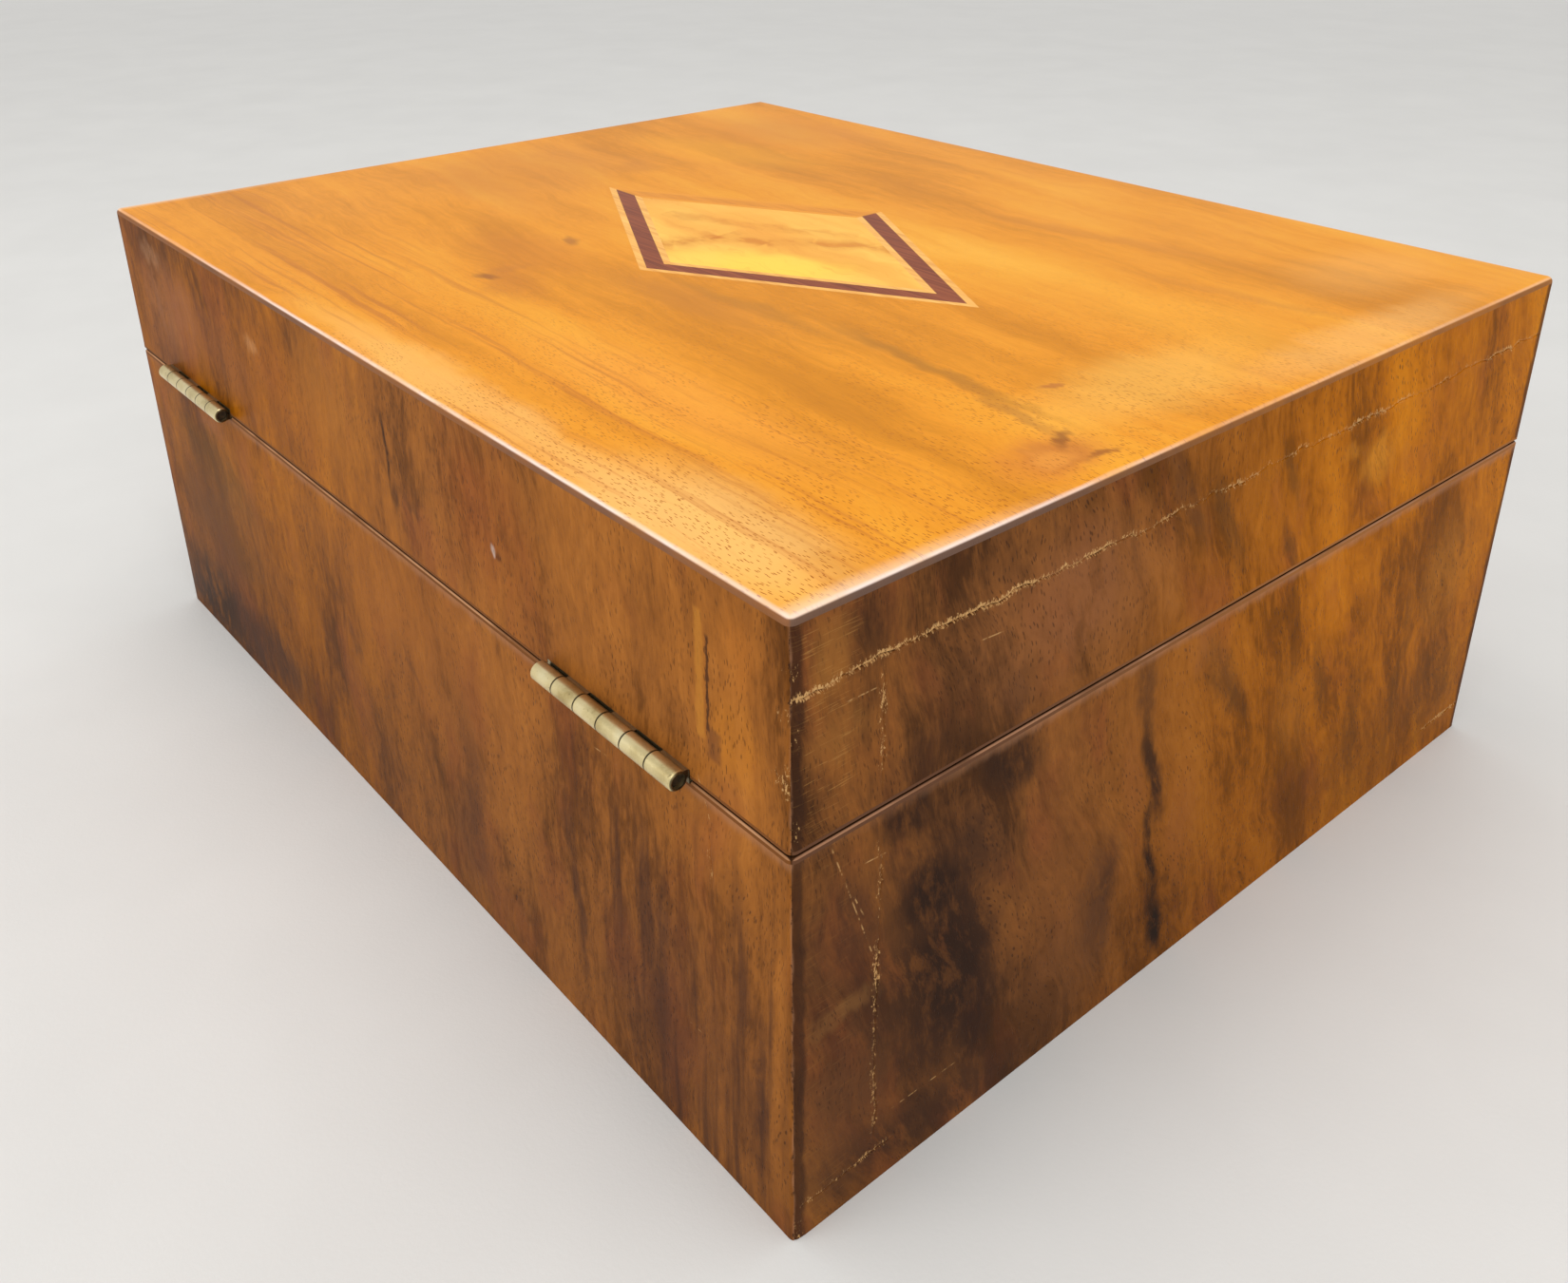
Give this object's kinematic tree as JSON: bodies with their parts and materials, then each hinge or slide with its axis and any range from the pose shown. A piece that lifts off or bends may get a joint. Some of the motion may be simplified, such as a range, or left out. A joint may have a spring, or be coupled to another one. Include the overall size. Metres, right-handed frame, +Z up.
{
  "type": "glove box",
  "caption": "Veneered wooden glove box with a diamond inlay in its hinged lid, brass butt hinges, a small box lock and a padded lining.",
  "frame": {"origin": "centre of the underside", "axes": "+X along the hinge edge, -Y towards the front with the lock, +Y towards the back with the hinges, +Z up"},
  "size_m": [0.3, 0.2441, 0.129],
  "materials": {
    "polished_top_veneer": "gloss",
    "walnut_side_veneer": "satin",
    "pale_stringing": "gloss",
    "dark_band_veneer": "gloss",
    "pale_figured_veneer": "gloss",
    "carcass_pine": "matte",
    "quilted_satin": "satin",
    "lining_satin": "satin",
    "aged_brass": "satin",
    "lock_steel": "satin"
  },
  "bodies": {
    "base": {"base_back_board": "carcass_pine", "base_back_lining": "lining_satin", "base_back_veneer": "walnut_side_veneer", "base_bottom_board": "carcass_pine", "base_floor_pad": "quilted_satin", "base_front_board": "carcass_pine", "base_front_lining": "lining_satin", "base_front_veneer": "walnut_side_veneer", "base_left_board": "carcass_pine", "base_left_lining": "lining_satin", "base_left_veneer": "walnut_side_veneer", "base_right_board": "carcass_pine", "base_right_lining": "lining_satin", "base_right_veneer": "walnut_side_veneer", "base_rim_veneer": "walnut_side_veneer", "hinge_left_base_leaf": "aged_brass", "hinge_left_base_screws": "aged_brass", "hinge_left_pin": "aged_brass", "hinge_right_base_leaf": "aged_brass", "hinge_right_base_screws": "aged_brass", "hinge_right_pin": "aged_brass", "keyhole_escutcheon": "aged_brass", "lock_cap": "aged_brass", "lock_case": "aged_brass", "lock_key_post": "aged_brass", "lock_screws": "aged_brass", "lock_spring": "lock_steel"},
    "lid": {"hinge_left_lid_leaf": "aged_brass", "hinge_left_lid_screws": "aged_brass", "hinge_right_lid_leaf": "aged_brass", "hinge_right_lid_screws": "aged_brass", "inlay_centre_panel": "pale_figured_veneer", "inlay_dark_band": "dark_band_veneer", "inlay_inner_stringing": "pale_stringing", "inlay_outer_stringing": "pale_stringing", "lid_back_board": "carcass_pine", "lid_back_lining": "lining_satin", "lid_back_veneer": "walnut_side_veneer", "lid_ceiling_pad": "quilted_satin", "lid_front_board": "carcass_pine", "lid_front_lining": "lining_satin", "lid_front_veneer": "walnut_side_veneer", "lid_left_board": "carcass_pine", "lid_left_lining": "lining_satin", "lid_left_veneer": "walnut_side_veneer", "lid_right_board": "carcass_pine", "lid_right_lining": "lining_satin", "lid_right_veneer": "walnut_side_veneer", "lid_rim_veneer": "walnut_side_veneer", "lid_top_board": "carcass_pine", "lid_top_veneer": "polished_top_veneer", "link_plate_screws": "aged_brass", "lock_link_plate": "aged_brass"},
    "lock_bolt": {"lock_bolt": "lock_steel"}
  },
  "joints": [
    {"name": "lid_hinge", "type": "hinge", "parent": "base", "child": "lid", "pos_m": [0, 0.1221, 0.08695], "axis": [-1, 0, 0], "range_deg": [0, 184]},
    {"name": "lock_bolt_slide", "type": "slide", "parent": "base", "child": "lock_bolt", "axis": [-1, 0, 0], "range_m": [0, 0.004]}
  ]
}
